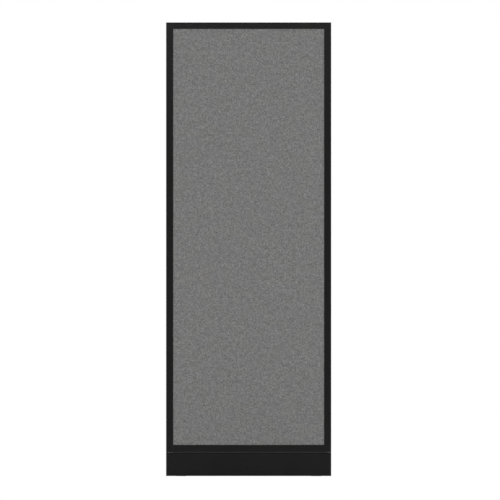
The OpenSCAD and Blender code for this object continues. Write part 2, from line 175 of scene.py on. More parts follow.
class StageSettings(bpy.types.PropertyGroup):
    """The floor, the lights and the camera."""

    view: number(
        "View height", "Height of what the camera takes in", 1.847, 0.5, 10.0, **LENGTH)
    aside: number(
        "Camera aside", "How far the camera stands to the right of the middle",
        0.005, -1.0, 1.0, **LENGTH)
    below: number(
        "Camera below", "How far the camera stands below the wall's middle",
        0.0027, -1.0, 1.0, **LENGTH)
    ambient: number(
        "Ambient light", "Strength of the even light from all round", 0.88, 0.0, 5.0)
    mirrored: number(
        "Mirrored light", "Strength of the even light as glossy surfaces see it", 0.22, 0.0, 5.0)
    key: number(
        "Key strength", "Strength of each of the four wide soft suns", 0.49, 0.0, 10.0)
    panels: number(
        "Panel power", "Power of each of the four panels that show in the gloss", 76.0, 0.0, 1000.0)
    top: number(
        "Strip power", "Power of the strip that shows in the upper trims", 1.8, 0.0, 1000.0)
    foot: number(
        "Low strip power", "Power of the strip that shows in the base", 0.62, 0.0, 1000.0)
    floor: tint("Floor colour", "Colour of the plain floor", (0.97, 0.97, 0.965))


class WallSettings(bpy.types.PropertyGroup):
    """Everything that a user would change."""

    cloth: bpy.props.PointerProperty(type=ClothSettings)
    coat: bpy.props.PointerProperty(type=CoatSettings)
    fittings: bpy.props.PointerProperty(type=FittingSettings)
    stage: bpy.props.PointerProperty(type=StageSettings)


# ---- Surfaces ----


def grid_quads(rows, columns, around=False):
    """Four-sided faces between neighbouring rows and columns of a grid of points.

    around joins the last column to the first. A face runs along the row first, so it faces the
    side that (along the row) x (up the rows) points to.
    """
    row, column = np.meshgrid(
        np.arange(rows - 1), np.arange(columns if around else columns - 1), indexing="ij")
    after = (column + 1) % columns
    corners = [row * columns + column, row * columns + after,
               (row + 1) * columns + after, (row + 1) * columns + column]
    return np.stack(corners, axis=-1).reshape(-1, 4)


def filled(profile, step):
    """A profile with points no more than step apart: each straight run is cut into equal parts."""
    corners = np.array(profile, float)
    runs = np.linalg.norm(np.diff(corners, axis=0), axis=1)
    along = np.concatenate([[0.0], np.cumsum(runs)])
    parts = np.maximum(1, np.ceil(runs / step)).astype(int)
    first = np.concatenate([[0], np.cumsum(parts)])
    place = np.interp(np.arange(first[-1] + 1), first, along)
    return np.stack([np.interp(place, along, corners[:, k]) for k in (0, 1)], axis=1)


def turned(profile, sides, radius=None, height=None):
    """A profile of (r, z) points turned round the Z axis: x = r cos a, y = r sin a.

    radius and height, if given, take r, z and the angle a and give the radius or height there,
    which is how flats, ribs, threads and recesses are cut. Points and faces are returned.
    """
    r, z = np.array(profile, float).T[:, :, None]
    a = (np.arange(sides) * TURN / sides)[None, :]
    shape = (len(profile), sides)
    out = np.broadcast_to(r if radius is None else radius(r, z, a), shape)
    up = np.broadcast_to(z if height is None else height(out, z, a), shape)
    points = np.stack([out * np.cos(a), out * np.sin(a), up], axis=-1).reshape(-1, 3)
    return points, grid_quads(*shape, around=True)


def hexagon(a, corner):
    """Distance from the middle of a hexagon to its edge at angle a, with corners at 0, 60, ..."""
    return corner * math.cos(TURN / 12) / np.cos(np.mod(a, TURN / 6) - TURN / 12)


def thread(z, a, pitch):
    """A right-hand thread: 1 on its crest, 0 at its root, one pitch up for each turn of a."""
    return np.clip(0.5 + 0.72 * np.cos(TURN * (z / pitch - a / TURN)), 0.0, 1.0)


def ramp(value, start, end):
    """Smooth step from 0 at start to 1 at end: 3t^2 - 2t^3 of the clipped share t."""
    t = np.clip((value - start) / (end - start), 0.0, 1.0)
    return t * t * (3 - 2 * t)


def copies(shape, places):
    """A shape turned so that its Z axis lies along each axis of a list, and moved to its point."""
    points, faces = shape
    turned_points = []
    for along, at in places:
        z = np.array(along, float)
        x = np.array((0.0, 1.0, 0.0)) if abs(z[0]) > 0.5 else np.array((1.0, 0.0, 0.0))
        turned_points.append(points @ np.stack([x, np.cross(z, x), z]) + np.array(at, float))
    starts = len(points) * np.arange(len(places))[:, None, None]
    return np.concatenate(turned_points), (faces + starts).reshape(-1, 4)


def from_both_sides(reach, heights):
    """The axis and point of what goes in from the left and from the right at each height."""
    return [((-side, 0, 0), (side * reach, 0, z)) for side in (-1, 1) for z in heights]


def make(name, shape, material, body, node, sharp=40.0):
    """A piece from points and faces, with its poles and seams closed and its normals outwards.

    It rides on a body, takes the material that it is given and stands for a frame node.
    """
    points, faces = shape
    mesh = bpy.data.meshes.new(name)
    mesh.from_pydata(points.tolist(), [], faces.tolist())
    whole = bmesh.new()
    whole.from_mesh(mesh)
    bmesh.ops.remove_doubles(whole, verts=whole.verts, dist=1e-6)
    bmesh.ops.dissolve_degenerate(whole, edges=whole.edges, dist=1e-7)
    bmesh.ops.recalc_face_normals(whole, faces=whole.faces)
    whole.to_mesh(mesh)
    whole.free()
    mesh.shade_smooth()
    mesh.set_sharp_from_angle(angle=math.radians(sharp))
    mesh.materials.append(material)
    return placed(linked(name, mesh), body, node)


def linked(name, data):
    """A new object in the scene, at the origin."""
    made = bpy.data.objects.new(name, data)
    bpy.context.scene.collection.objects.link(made)
    return made


def placed(piece, body, node):
    """Rides a piece on its body, and hides the frame node that it stands for."""
    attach(piece, body)
    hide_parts(node)
    return piece


# ---- Finishes ----


class Nodes:
    """A node tree that is being put together. A call adds nodes and gives an output."""

    def __init__(self, tree):
        self.tree = tree

    def join(self, socket, value):
        """Joins an output to a socket, or writes a plain value on it."""
        if isinstance(value, bpy.types.NodeSocket):
            self.tree.links.new(value, socket)
        else:
            socket.default_value = value

    def node(self, kind, inputs=None, output=0, **settings):
        """Adds a node and gives one of its outputs."""
        made = self.tree.nodes.new("ShaderNode" + kind)
        for name, value in settings.items():
            setattr(made, name, value)
        for key, value in (inputs or {}).items():
            self.join(made.inputs[key], value)
        return made.outputs[output]

    def math(self, operation, a, b=0.0, c=0.0):
        """One arithmetic step."""
        return self.node("Math", {0: a, 1: b, 2: c}, operation=operation)

    def times(self, value, *others):
        """Values multiplied together."""
        for other in others:
            value = self.math("MULTIPLY", value, other)
        return value

    def line(self, value, slope, start):
        """A value times a slope, plus a start."""
        return self.math("MULTIPLY_ADD", value, slope, start)


class Finish(Nodes):
    """A procedural material that is being put together."""

    def __init__(self, name, roughness, metallic=0.0, specular=0.5, uv=None):
        self.material = bpy.data.materials.new(name)
        self.material.use_nodes = True
        super().__init__(self.material.node_tree)
        self.shader = self.tree.nodes["Principled BSDF"]
        self.set("Roughness", roughness)
        self.set("Metallic", metallic)
        self.set("Specular IOR Level", specular)
        if uv:
            self.place = self.node("UVMap", uv_map=uv)
        else:
            self.place = self.node("TexCoord", output="Object")

    def set(self, socket, value):
        """Gives a socket of the shader a plain value, or joins an output to it."""
        self.join(self.shader.inputs[socket], value)

    def stretch(self, x, y, z):
        """The place with each axis scaled, so that a pattern is drawn out along one of them."""
        return self.node("VectorMath", {0: self.place, 1: (x, y, z)}, operation="MULTIPLY")

    def noise(self, size, place=None, detail=2.0, rough=0.5):
        """Cloudy noise whose blobs are about size across, from 0 to 1 round 0.5."""
        return self.node("TexNoise", {"Vector": place or self.place, "Scale": 1 / size,
                                      "Detail": detail, "Roughness": rough})

    def cells(self, size, feature="F1"):
        """Distance to the nearest of scattered points about size apart, in shares of size."""
        return self.node("TexVoronoi", {"Vector": self.place, "Scale": 1 / size}, feature=feature)

    def between(self, value, start, end, low=0.0, high=1.0):
        """A value from start to end spread smoothly over low to high."""
        return self.node("MapRange", {"Value": value, "From Min": start, "From Max": end,
                                      "To Min": low, "To Max": high},
                         interpolation_type="SMOOTHSTEP")

    def blend(self, share, a, b):
        """The colour a where share is 0 and b where it is 1."""
        a, b = [(*c, 1.0) if isinstance(c, tuple) else c for c in (a, b)]
        return self.node("Mix", {0: share, 6: a, 7: b}, output=2, data_type="RGBA")

    def scaled(self, colour, by):
        """A colour multiplied by a number."""
        return self.node("VectorMath", {0: colour, "Scale": by}, operation="SCALE")

    def axes(self):
        """The place's X, Y and Z."""
        return [self.node("SeparateXYZ", {0: self.place}, output=k) for k in range(3)]

    def bump(self, height, depth, strength):
        """Sets the shader's normal from a height of 0 to 1 that stands for depth metres."""
        self.set("Normal", self.node("Bump", {"Height": height, "Distance": depth,
                                              "Strength": strength}))

    def near(self, value, at, reach):
        """1 where a coordinate is within reach of a place, falling to 0 beyond it."""
        gap = self.math("ABSOLUTE", self.math("SUBTRACT", value, at))
        return self.between(gap, 0.3 * reach, reach, 1.0, 0.0)


def woven_cloth(cloth):
    """Plain weave of heather yarns. In yarn pitches, a warp yarn's height is the half circle over
    its own width times 1 + sin(pi v) with its sign changed on every other yarn, and a weft yarn's
    is the same with u and v changed over. The higher one shows, in its own streaked tone."""
    f = Finish("heather cloth", 0.92, specular=0.25, uv="cut")
    f.set("Sheen Weight", 0.12)
    f.set("Sheen Roughness", 0.5)
    f.set("Sheen Tint", (0.75, 0.75, 0.74, 1.0))
    drift = f.node("VectorMath", {0: f.node("TexNoise", {"Vector": f.place, "Scale": 160.0,
                                                         "Detail": 1.0}, output=1),
                                  1: (0.5, 0.5, 0.5)}, operation="SUBTRACT")
    waved = f.node("VectorMath", {0: drift, 1: (0.9 * cloth.yarn,) * 3, 2: f.place},
                   operation="MULTIPLY_ADD")
    pitched = f.node("VectorMath", {0: waved, "Scale": 1 / cloth.yarn}, operation="SCALE")
    u, v = [f.node("SeparateXYZ", {0: pitched}, output=k) for k in (0, 1)]

    def yarn(across, along, first):
        number = f.math("FLOOR", across)
        side = f.line(f.math("SUBTRACT", across, number), 2.0, -1.0)
        round_ = f.math("SQRT", f.math("SUBTRACT", 1.0, f.times(side, side)))
        twist = f.line(along, 0.9, f.times(across, 5.0))
        strands = f.noise(0.625, f.node("CombineXYZ", {
            0: twist, 1: f.times(along, 0.8), 2: f.times(number, 3.7)}), rough=0.6)
        turn = f.line(f.math("ADD", along, number), math.pi, first)
        over = f.line(f.math("SINE", turn), 0.5, 0.5)
        streak = f.node("CombineXYZ", {0: f.times(number, 7.31),
                                       1: f.times(along, 0.22), 2: first})
        return f.times(round_, over), f.noise(1.0, streak, detail=3.0, rough=0.75), strands

    warp_height, warp_tone, warp_strands = yarn(u, v, 0.0)
    weft_height, weft_tone, weft_strands = yarn(v, u, math.pi)
    weft_shows = f.math("GREATER_THAN", weft_height, warp_height)
    tone = f.node("Mix", {0: weft_shows, 2: warp_tone, 3: weft_tone}, data_type="FLOAT")
    strands = f.node("Mix", {0: weft_shows, 2: warp_strands, 3: weft_strands}, data_type="FLOAT")
    height = f.math("MAXIMUM", warp_height, weft_height)
    yarns = f.between(tone, 0.25, 0.75, 1.0 - cloth.heather, 1.0 + cloth.heather)
    spread = 0.22 * cloth.mottle
    nubs = f.between(f.noise(6.0 * MM, f.stretch(1.0, 0.9, 1.0), detail=1.0, rough=0.6), 0.25, 0.75,
                     1.0 - spread, 1.0 + spread)
    drifts = f.between(f.noise(16 * MM, detail=1.0), 0.25, 0.75, 1.0 - 0.4 * spread,
                       1.0 + 0.4 * spread)
    clouds = f.between(f.noise(70 * MM, detail=1.0), 0.2, 0.8, 0.985, 1.015)
    # Painted shade: the colour is darker where the weave is low, in the hollows between crossing
    # yarns; the strands add their own streaked tone.
    weave_shade_and_strands = f.times(f.between(height, 0.1, 0.75, 0.42, 1.12),
                      f.between(strands, 0.3, 0.7, 0.74, 1.22))
    slub = f.between(f.noise(1.0, f.stretch(700.0, 90.0, 0.0), detail=1.0), 0.60, 0.82, 1.0, 1.28)
    level = 0.906  # brings the mean of all these back to the yarns' own colour
    tones = f.times(yarns, nubs, drifts, clouds, weave_shade_and_strands, slub, level)
    grey = tuple(cloth.colour)
    plain = tuple(np.array(grey) * (0.996, 0.998, 1.012))
    olive = tuple(np.array(grey) * (1.004, 1.004, 0.980))
    colour = f.blend(f.between(f.noise(60 * MM, detail=1.0), 0.45, 0.66), plain, olive)
    f.set("Base Color", f.scaled(colour, tones))
    f.set("Roughness", f.between(tone, 0.2, 0.8, 0.84, 0.98))
    f.bump(f.line(strands, 0.4, height), 0.3 * MM, 0.8)
    return f.material


def edge_rub(f, edges, reach):
    """How rubbed a point is: 1 on the nearest edge line and 0 a reach away from it, broken up by
    noise. An edge is two of |x|, |y| and z with the values that they have on that line."""
    x, y, z = f.axes()
    places = {"x": f.math("ABSOLUTE", x), "y": f.math("ABSOLUTE", y), "z": z}
    worn = 0.0
    for edge in edges:
        (a, at_a), (b, at_b) = edge.items()
        line = f.times(f.near(places[a], at_a, reach), f.near(places[b], at_b, reach))
        worn = f.math("MAXIMUM", worn, line)
    broken = f.between(f.noise(9 * MM, detail=4.0, rough=0.7), 0.42, 0.66)
    return f.times(worn, broken)


def powder_coat(name, coat, edges, seam=None):
    """Black powder coat: fine orange peel, faint cloudiness in its gloss, and rubbed edges.

    seam is the height of the open seam above the base covers. On both sides of it the coat is
    painted lighter, a painted highlight along the seam."""
    f = Finish(name, coat.roughness, specular=0.14)
    peel = f.noise(1.1 * MM, detail=2.0, rough=0.55)
    grain = f.cells(0.7 * MM)
    smear = f.noise(1.0, f.stretch(14.0, 14.0, 5.0), detail=3.0)
    rub = f.times(edge_rub(f, edges, coat.rub), coat.wear)
    # Painted highlight: a lighter band on both sides of the open seam.
    if seam:
        highlight_strength = f.between(f.noise(60 * MM, detail=3.0), 0.3, 0.7, 1.28, 1.48)
        highlight_band = f.near(f.axes()[2], seam, SEAM_HIGHLIGHT)
        rub = f.math("MAXIMUM", rub, f.times(highlight_strength, highlight_band))
    speck = f.between(grain, 0.0, 0.5, 1.35, 0.88)
    cloudy = f.between(smear, 0.3, 0.7, 0.95, 1.05)
    black = f.scaled(tuple(coat.colour), f.times(speck, cloudy))
    # rub holds the rubbed edges and, near the seam, the painted highlight.
    f.set("Base Color", f.blend(f.times(rub, 0.6), black, (0.064, 0.064, 0.065)))
    gloss = f.between(smear, 0.3, 0.7, coat.roughness + 0.05, coat.roughness - 0.05)
    gloss = f.line(f.math("SUBTRACT", grain, 0.4), 0.08, gloss)
    f.set("Roughness", f.line(rub, -0.14, gloss))
    f.bump(f.line(peel, 0.7, f.times(grain, -0.4)), 0.16 * MM, 0.8)
    return f.material


def moulded_plastic(name, colour, edges, reach):
    """Black plastic with the sparked texture of its mould, polished a little on its edges."""
    f = Finish(name, 0.55, specular=0.25)
    spark = f.cells(0.45 * MM, feature="SMOOTH_F1")
    soft = f.noise(0.8 * MM, detail=3.0, rough=0.65)
    flow = f.noise(1.0, f.stretch(25.0, 60.0, 25.0), detail=2.0)
    rub = edge_rub(f, edges, reach) if edges else 0.0
    tone = f.times(f.between(spark, 0.0, 0.8, 1.25, 0.85),
                   f.between(flow, 0.3, 0.7, 0.94, 1.06))
    f.set("Base Color", f.blend(f.times(rub, 0.4), f.scaled(colour, tone),
                                (0.05, 0.05, 0.052)))
    f.set("Roughness", f.line(rub, -0.15, f.between(soft, 0.3, 0.7, 0.62, 0.48)))
    f.bump(f.line(soft, 0.6, f.times(spark, 0.4)), 0.06 * MM, 0.6)
    return f.material


def mill_steel():
    """Bare rolled steel: long rolling streaks, grey bloom and a little rust freckle."""
    f = Finish("mill steel", 0.42, metallic=1.0)
    streak = f.noise(1.0, f.stretch(900.0, 900.0, 12.0), detail=3.0, rough=0.6)
    bloom = f.noise(38 * MM, detail=4.0, rough=0.6)
    freckle = f.between(f.noise(3.5 * MM, detail=3.0, rough=0.7), 0.68, 0.78)
    steel = f.blend(f.between(bloom, 0.35, 0.65), (0.27, 0.28, 0.30), (0.38, 0.385, 0.395))
    steel = f.scaled(steel, f.between(streak, 0.3, 0.7, 0.9, 1.08))
    f.set("Base Color", f.blend(f.times(freckle, 0.5), steel, (0.16, 0.10, 0.06)))
    f.set("Metallic", f.line(freckle, -0.6, 1.0))
    dull = f.between(streak, 0.3, 0.7, 0.34, 0.5)
    f.set("Roughness", f.line(f.between(bloom, 0.35, 0.65), 0.1, dull))
    f.bump(streak, 0.02 * MM, 0.5)
    return f.material


def zinc_plate():
    """Bright zinc plate: fine satin grain, a pale yellow and blue cast, and dull handling marks."""
    f = Finish("zinc plate", 0.3, metallic=1.0)
    cast = f.noise(5 * MM, detail=2.0)
    grain = f.noise(0.25 * MM, detail=2.0)
    marks = f.between(f.noise(11 * MM, detail=4.0, rough=0.7), 0.5, 0.68)
    colour = f.blend(f.between(cast, 0.35, 0.65), (0.53, 0.55, 0.60), (0.60, 0.58, 0.50))
    f.set("Base Color", f.scaled(colour, f.between(grain, 0.3, 0.7, 0.92, 1.04)))
    f.set("Roughness", f.line(marks, 0.16, f.between(grain, 0.3, 0.7, 0.22, 0.34)))
    f.bump(grain, 0.01 * MM, 0.4)
    return f.material


def nickel_plate():
    """Bright nickel on the magnets: faint swirls and small dull chips."""
    f = Finish("nickel plate", 0.2, metallic=1.0)
    swirl = f.noise(1.2 * MM, detail=3.0, rough=0.6)
    chips = f.between(f.cells(2.5 * MM), 0.05, 0.12, 1.0, 0.0)
    bright = f.scaled((0.56, 0.54, 0.50), f.between(swirl, 0.3, 0.7, 0.94, 1.05))
    f.set("Base Color", f.blend(f.times(chips, 0.6), bright, (0.16, 0.15, 0.14)))
    f.set("Roughness", f.line(chips, 0.3, f.between(swirl, 0.3, 0.7, 0.14, 0.26)))
    f.bump(swirl, 0.01 * MM, 0.3)
    return f.material


def kraft_paper():
    """Raw brown paper of the honeycomb: drawn-out fibres, flecks and a faint ribbing."""
    f = Finish("kraft paper", 0.88, specular=0.2)
    fibres = f.noise(1.0, f.stretch(500.0, 500.0, 1600.0), detail=4.0, rough=0.7)
    cloudy = f.noise(14 * MM, detail=3.0)
    flecks = f.between(f.cells(2.2 * MM), 0.08, 0.14, 1.0, 0.0)
    paper = f.blend(f.between(cloudy, 0.35, 0.65), (0.36, 0.235, 0.125), (0.47, 0.32, 0.18))
    paper = f.scaled(paper, f.between(fibres, 0.3, 0.7, 0.85, 1.12))
    f.set("Base Color", f.blend(f.times(flecks, 0.5), paper, (0.16, 0.10, 0.05)))
    f.set("Roughness", f.between(fibres, 0.3, 0.7, 0.80, 0.95))
    f.bump(fibres, 0.08 * MM, 0.7)
    return f.material


def fibre_board():
    """Raw mineral fibre board: pale, with pinholes, short cracks and loose fibres."""
    f = Finish("fibre board", 0.93, specular=0.15)
    pits = f.between(f.cells(3.2 * MM), 0.10, 0.22)
    cracks = f.between(f.noise(7 * MM, detail=4.0, rough=0.75), 0.47, 0.5)
    lint = f.noise(1.0, f.stretch(400.0, 900.0, 1500.0), detail=3.0, rough=0.7)
    board = f.blend(f.between(lint, 0.3, 0.7), (0.50, 0.45, 0.30), (0.66, 0.60, 0.42))
    # The pinholes are painted darker, as painted shade inside them.
    f.set("Base Color", f.scaled(board, f.between(pits, 0.0, 1.0, 0.55, 1.0)))
    f.set("Roughness", f.between(lint, 0.3, 0.7, 0.86, 0.98))
    f.bump(f.line(cracks, 0.2, f.line(lint, 0.3, pits)), 0.5 * MM, 0.7)
    return f.material


def sole_rubber():
    """Moulded rubber: dull, with a fine bloom and trodden-in dust."""
    f = Finish("sole rubber", 0.8, specular=0.3)
    bloom = f.noise(6 * MM, detail=3.0, rough=0.6)
    grit = f.noise(0.5 * MM, detail=2.0)
    dust = f.between(f.line(grit, 0.4, bloom), 0.62, 0.8)
    rubber = f.scaled((0.02, 0.02, 0.02), f.between(bloom, 0.3, 0.7, 0.85, 1.3))
    f.set("Base Color", f.blend(f.times(dust, 0.25), rubber, (0.16, 0.15, 0.14)))
    f.set("Roughness", f.between(grit, 0.3, 0.7, 0.72, 0.9))
    f.bump(grit, 0.08 * MM, 0.6)
    return f.material


finishes = {}


def finish(name, maker, *given):
    """A finish by name, made once and shared by every piece that has it."""
    if name not in finishes:
        finishes[name] = maker(*given)
    return finishes[name]


def dress(material, *nodes):
    """Gives frame nodes that keep their shape a detailed material."""
    for node in nodes:
        mesh = frame["nodes"][node].data
        mesh.materials.clear()
        mesh.materials.append(material)


def plastic(context, node, edges):
    """The moulded plastic of one node, rubbed along its own edges."""
    coat = context.scene.partition_wall.coat
    return finish(f"plastic {node}", moulded_plastic, f"black plastic {node}",
                  tuple(coat.plastic), edges, coat.rub)


# ---- Tiles ----


def wrapped_cloth(low, high, fold, crown, window):
    """The cloth of the front tile: a flat face carried round the tile's four edges and in behind.

    The face is a grid over x and z whose y is the front plane, less a crown that rises smoothly
    inside the window, less a slow ripple. Each further ring is the face's outline, inset by the
    profile's offset: a quarter circle, the side, a smaller quarter circle and the turned-in part,
    mitred at the corners. It gives points, faces and the flat cut's place of every face corner.
    """
    columns, rows, bend = 80, 208, 1.0 * MM
    lip, ease, sway = 2 * MM, 60 * MM, 0.07 * MM
    half = (high[0] - low[0]) / 2
    middle = (low[2] + high[2]) / 2
    tall = (high[2] - low[2]) / 2
    x = np.linspace(-half + bend, half - bend, columns + 1)
    z = np.linspace(-tall + bend, tall - bend, rows + 1)
    zz, xx = np.meshgrid(z, x, indexing="ij")
    wide, bottom, top = window[0], window[1] - middle, window[2] - middle
    inside = (ramp(wide - np.abs(xx), lip, ease) * ramp(top - zz, lip, ease)
              * ramp(zz - bottom, lip, ease))
    ripple = (np.sin(xx * 31 + 2 * np.sin(zz * 5)) * np.sin(zz * 17 + 1.3)
              + 0.5 * np.sin(xx * 73 + zz * 41 + 0.4)) * sway
    y = low[1] - inside * (crown + ripple)
    face = np.stack([xx, y, zz], axis=-1).reshape(-1, 3)
    numbers = np.arange(len(face)).reshape(rows + 1, columns + 1)
    rim = np.concatenate([numbers[0, :-1], numbers[:-1, -1], numbers[-1, :0:-1], numbers[:0:-1, 0]])
    side = np.repeat(np.arange(4), [columns, rows, columns, rows])

    quarter = np.linspace(0, TURN / 4, 6)[1:]
    back_bend = 0.8 * MM
    deep = high[1] - low[1]
    profile = np.concatenate([
        np.stack([bend * (1 - np.sin(quarter)), bend * (1 - np.cos(quarter))], 1),
        [[0.0, deep / 2], [0.0, deep - back_bend]],
        np.stack([back_bend * (1 - np.cos(quarter)), deep - back_bend * (1 - np.sin(quarter))], 1),
        np.stack([np.linspace(back_bend, fold, 6)[1:], np.full(5, deep)], 1)])
    before = np.concatenate([[[bend, 0.0]], profile])
    run = np.cumsum(np.linalg.norm(np.diff(before, axis=0), axis=1))

    share = np.stack([face[rim, 0] / (half - bend), face[rim, 2] / (tall - bend)], axis=1)
    inset = profile[:, None, 0]
    rings = np.stack([share[None, :, 0] * (half - inset),
                      np.broadcast_to(low[1] + profile[:, None, 1], (len(profile), len(rim))),
                      share[None, :, 1] * (tall - inset)], axis=-1)
    points = np.concatenate([face, rings.reshape(-1, 3)]) + (0.0, 0.0, middle)

    ring_numbers = np.concatenate([rim[None, :], len(face) + np.arange(
        len(profile) * len(rim)).reshape(len(profile), len(rim))])
    after = np.roll(ring_numbers, -1, axis=1)
    strips = np.stack([ring_numbers[:-1], ring_numbers[1:], after[1:], after[:-1]], axis=-1)
    face_quads = grid_quads(rows + 1, columns + 1)
    faces = np.concatenate([face_quads, strips.reshape(-1, 4)])

    flat = np.stack([face[:, 0], face[:, 2]], axis=1)
    out = np.concatenate([[0.0], run])[:, None] + bend
    corner_x = share[None, :, 0] * (half - bend) + 0 * out
    corner_z = share[None, :, 1] * (tall - bend) + 0 * out
    sideways = np.sign(share[None, :, 0]) * (half - 2 * bend + out)
    upright = np.sign(share[None, :, 1]) * (tall - 2 * bend + out)
    by_x, by_z = np.stack([sideways, corner_z], -1), np.stack([corner_x, upright], -1)
    cut = [np.stack([m[:-1], m[1:], np.roll(m, -1, axis=1)[1:], np.roll(m, -1, axis=1)[:-1]], 2)
           for m in (by_x, by_z)]
    along_x = (side % 2 == 1)[None, :, None, None]
    strip_cut = np.where(along_x, cut[0], cut[1])
    return points, faces, np.concatenate([flat[face_quads].reshape(-1, 2),
                                          strip_cut.reshape(-1, 2)])


class PARTITION_OT_tile_cloth(bpy.types.Operator):
    """Stretches a woven cloth over each of the two tiles."""

    bl_idname = "partition.tile_cloth"
    bl_label = "Tile cloth"

    def execute(self, context):
        cloth = context.scene.partition_wall.cloth
        low, high = box("tile_fabric_front")
        window = (-box("side_trim_left")[1][0], box("bottom_rail")[1][2], box("top_cap")[0][2])
        material = finish("cloth", woven_cloth, cloth)
        points, faces, cut = wrapped_cloth(low, high, cloth.fold, cloth.crown, window)
        for side, turn in (("front", 1), ("back", -1)):
            name = f"cloth_{side}"
            mesh = bpy.data.meshes.new(name)
            mesh.from_pydata((points * (turn, turn, 1)).tolist(), [], faces.tolist())
            mesh.uv_layers.new(name="cut").data.foreach_set("uv", cut.ravel())
            mesh.shade_smooth()
            mesh.materials.append(material)
            piece = linked(name, mesh)
            thick = piece.modifiers.new("thickness", "SOLIDIFY")
            thick.thickness = cloth.thickness
            thick.offset = -1.0
            placed(piece, "panel", f"tile_fabric_{side}")
        return {"FINISHED"}


# ---- Trims and covers ----


class PARTITION_OT_trims(bpy.types.Operator):
    """Powder-coats the side trims, the top cap and the bottom rail."""

    bl_idname = "partition.trims"
    bl_label = "Trims"

    def execute(self, context):
        coat = context.scene.partition_wall.coat
        out = box("side_trim_left")
        face, side, lip = out[1][1], -out[0][0], -out[1][0]
        cap, rail = box("top_cap"), box("bottom_rail")
        top = cap[1][2]
        # The coat is painted lighter round this seam, a painted highlight.
        seam = (out[0][2] + box("base_cover_back")[1][2]) / 2
        dress(finish("side coat", powder_coat, "black coat, side trims", coat,
                     [{"x": side, "y": face}, {"x": lip, "y": face}], seam),
              "side_trim_left", "side_trim_right")
        dress(finish("cap coat", powder_coat, "black coat, top cap", coat,
                     [{"y": face, "z": top}, {"y": face, "z": cap[0][2]}]), "top_cap")
        dress(finish("rail coat", powder_coat, "black coat, bottom rail", coat,
                     [{"y": face, "z": out[0][2]}, {"y": face, "z": rail[1][2]}], seam),
              "bottom_rail")
        return {"FINISHED"}


class PARTITION_OT_base_covers(bpy.types.Operator):
    """Powder-coats the hinged base covers and sets the magnets in them."""

    bl_idname = "partition.base_covers"
    bl_label = "Base covers"

    def execute(self, context):
        coat = context.scene.partition_wall.coat
        low, high = box("base_cover_back")
        # The coat is painted lighter round this seam, a painted highlight.
        seam = (high[2] + box("side_trim_left")[0][2]) / 2
        dress(finish("cover coat", powder_coat, "black coat, base covers", coat,
                     [{"y": high[1], "z": low[2]}, {"x": high[0], "y": high[1]},
                      {"x": high[0], "z": high[2]}], seam),
              "base_cover_front", "base_cover_back")
        material = finish("nickel", nickel_plate)
        for side in ("front", "back"):
            low, high = box(f"cover_magnets_{side}")
            radius, thick = (high[2] - low[2]) / 2, high[1] - low[1]
            edge = 0.35 * MM
            profile = filled([(0, 0), (radius - edge, 0), (radius, edge), (radius, thick - edge),
                              (radius - edge, thick), (0, thick)], 1.2 * MM)
            places = [((0, 1, 0), (x, low[1], low[2] + radius))
                      for x in np.linspace(low[0] + radius, high[0] - radius, 3)]
            make(f"magnets_{side}", copies(turned(profile, 48), places), material,
                 f"{side}_cover", f"cover_magnets_{side}")
        return {"FINISHED"}


class PARTITION_OT_end_caps(bpy.types.Operator):
    """Gives the ends of the top cap and of the base their moulded plastic."""

    bl_idname = "partition.end_caps"
    bl_label = "End caps"

    def execute(self, context):
        low, high = box("cap_end_right")
        dress(plastic(context, "cap_end", [{"x": high[0], "y": high[1]},
                                           {"x": high[0], "z": high[2]}]),
              "cap_end_left", "cap_end_right")
        low, high = box("base_end_right")
        dress(plastic(context, "base_end", [{"x": high[0], "y": high[1]},
                                            {"x": high[0], "z": low[2]},
                                            {"x": high[0], "z": high[2]}]),
              "base_end_left", "base_end_right")
        return {"FINISHED"}


# ---- Screws, nuts and glides ----


def cross_screw(head, thick, shank, length, pitch, recess, sides=60):
    """A self-tapping screw with its head's face at z = 0 and its point at z = length.

    The head's face is a low dome, thick * 0.35 * (r / head)^3 below its middle, sunk by the
    recess where |x| or |y| is inside the arms of a cross that narrows towards its ends. The
    shank's radius is its root plus a sharp thread that dies away towards the head and the point.
    """
    arm, reach = 0.14 * head, 0.62 * head
    rim = thick * 0.35
    profile = np.concatenate([
        filled([(0, 0), (head * 0.98, 0)], head / 16),
        filled([(head, rim + 0.1 * MM), (head, thick), (shank, thick)], head / 4),
        filled([(shank, thick + 0.1 * MM), (shank, length - 2 * shank), (0, length)], pitch / 7)])

    def radius(r, z, a):
        crest = np.clip(np.cos(TURN * (z / pitch - a / TURN)), 0, 1) ** 2
        fade = ramp(z, thick, thick + pitch) * (z > thick)
        return r - np.where((z > thick) & (r > 0), 0.24 * shank * fade * (1 - crest) * r / shank, 0)

    def height(r, z, a):
        x, y = np.abs(r * np.cos(a)), np.abs(r * np.sin(a))
        narrow, wide = np.minimum(x, y), np.maximum(x, y)
        taper = arm * (1.25 - 0.5 * wide / reach)
        outside = ramp(narrow, taper * 0.75, taper * 1.15), ramp(wide, reach * 0.7, reach)
        sunk = (1 - outside[0]) * (1 - outside[1]) * recess
        return np.where(z <= 0, rim * (r / head) ** 3 + sunk, z)

    return turned(profile, sides, radius, height)


